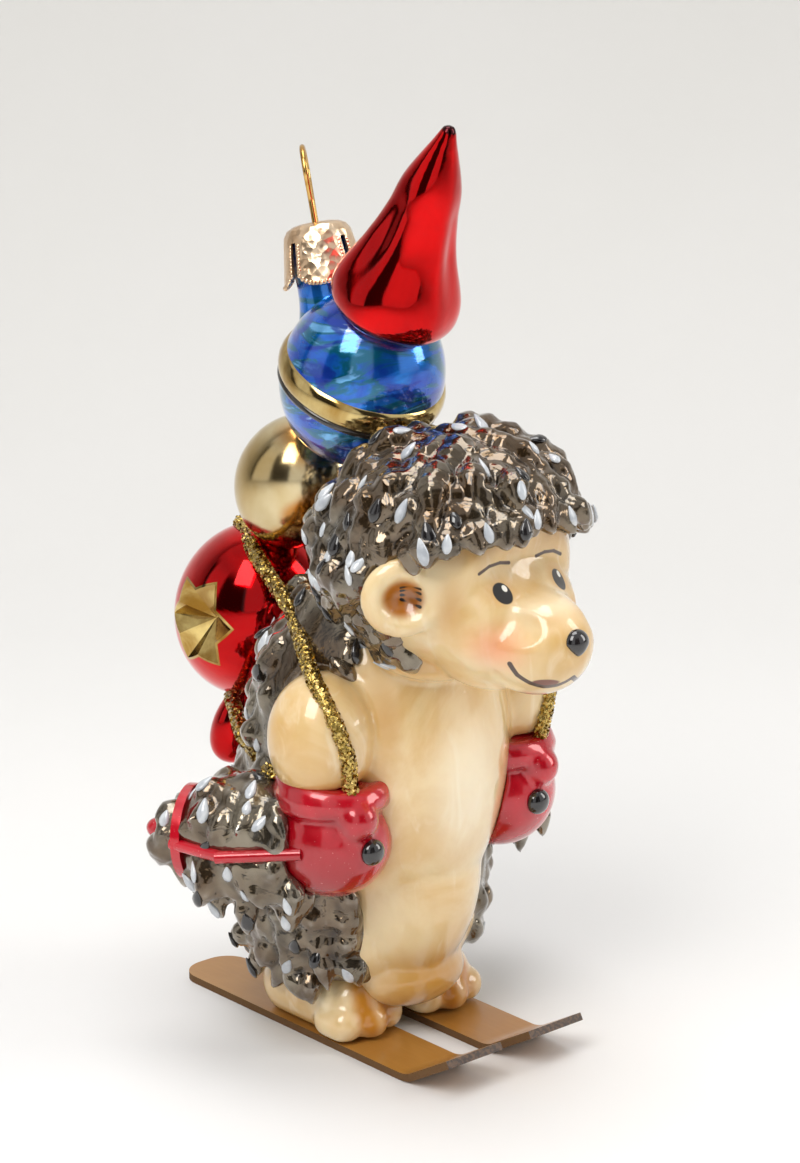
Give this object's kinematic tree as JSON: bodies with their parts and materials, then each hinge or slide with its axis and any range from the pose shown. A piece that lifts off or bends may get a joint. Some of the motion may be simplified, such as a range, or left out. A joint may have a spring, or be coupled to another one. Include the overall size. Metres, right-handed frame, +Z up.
{
  "type": "hedgehog_figurine",
  "caption": "Blown glass hedgehog ornament on skis, carrying a red, gold and blue tree-top finial on its back, with mittens, ski poles, a metal cap and a wire hanger",
  "frame": {"origin": "on the floor, under the middle of the whole ornament's box", "axes": "+Z up, the figure faces -Y, its right side is -X"},
  "size_m": [0.0729, 0.091, 0.1481],
  "materials": {
    "cream_glass": "gloss",
    "coat_glass": "gloss",
    "red_glass": "gloss",
    "crimson_lacquer": "gloss",
    "gold_glass": "gloss",
    "blue_glass": "gloss",
    "gold_lacquer": "gloss",
    "black_enamel": "gloss",
    "cap_metal": "satin",
    "wire_metal": "gloss",
    "adhesive": "gloss",
    "ski_board": "satin",
    "glitter": "gloss"
  },
  "bodies": {
    "figure": {"head": "cream_glass", "nose": "black_enamel", "belly": "cream_glass", "red_bauble": "red_glass", "gold_bauble": "gold_glass", "blue_bauble": "blue_glass", "bauble_band": "gold_lacquer", "spire": "red_glass", "neck": "blue_glass", "finial_knob": "red_glass", "head_coat": "coat_glass", "back_coat": "coat_glass", "ear_right": "cream_glass", "ear_left": "cream_glass", "cuff_right": "crimson_lacquer", "cuff_left": "crimson_lacquer", "arm_right": "cream_glass", "arm_left": "cream_glass", "mitten_right": "crimson_lacquer", "mitten_left": "crimson_lacquer", "pole_grip_right": "black_enamel", "pole_grip_left": "black_enamel", "pole_right": "red_glass", "pole_left": "red_glass", "foot_right": "cream_glass", "foot_left": "cream_glass", "glue_pad_right": "adhesive", "glue_pad_left": "adhesive", "ski_right": "ski_board", "ski_left": "ski_board", "star_right": "gold_lacquer", "star_left": "gold_lacquer", "strap_upper_right": "glitter", "strap_upper_left": "glitter", "strap_lower_right": "glitter", "strap_lower_left": "glitter"},
    "cap_body": {"cap": "cap_metal"},
    "hanger": {"hanger_wire": "wire_metal"}
  },
  "joints": [
    {"name": "cap_pull", "type": "slide", "parent": "figure", "child": "cap_body", "axis": [0, 0.2588, 0.9659], "range_m": [0, 0.018]},
    {"name": "hanger_slide", "type": "slide", "parent": "cap_body", "child": "hanger", "axis": [0, 0.2588, 0.9659], "range_m": [-0.0015, 0.0015]}
  ]
}
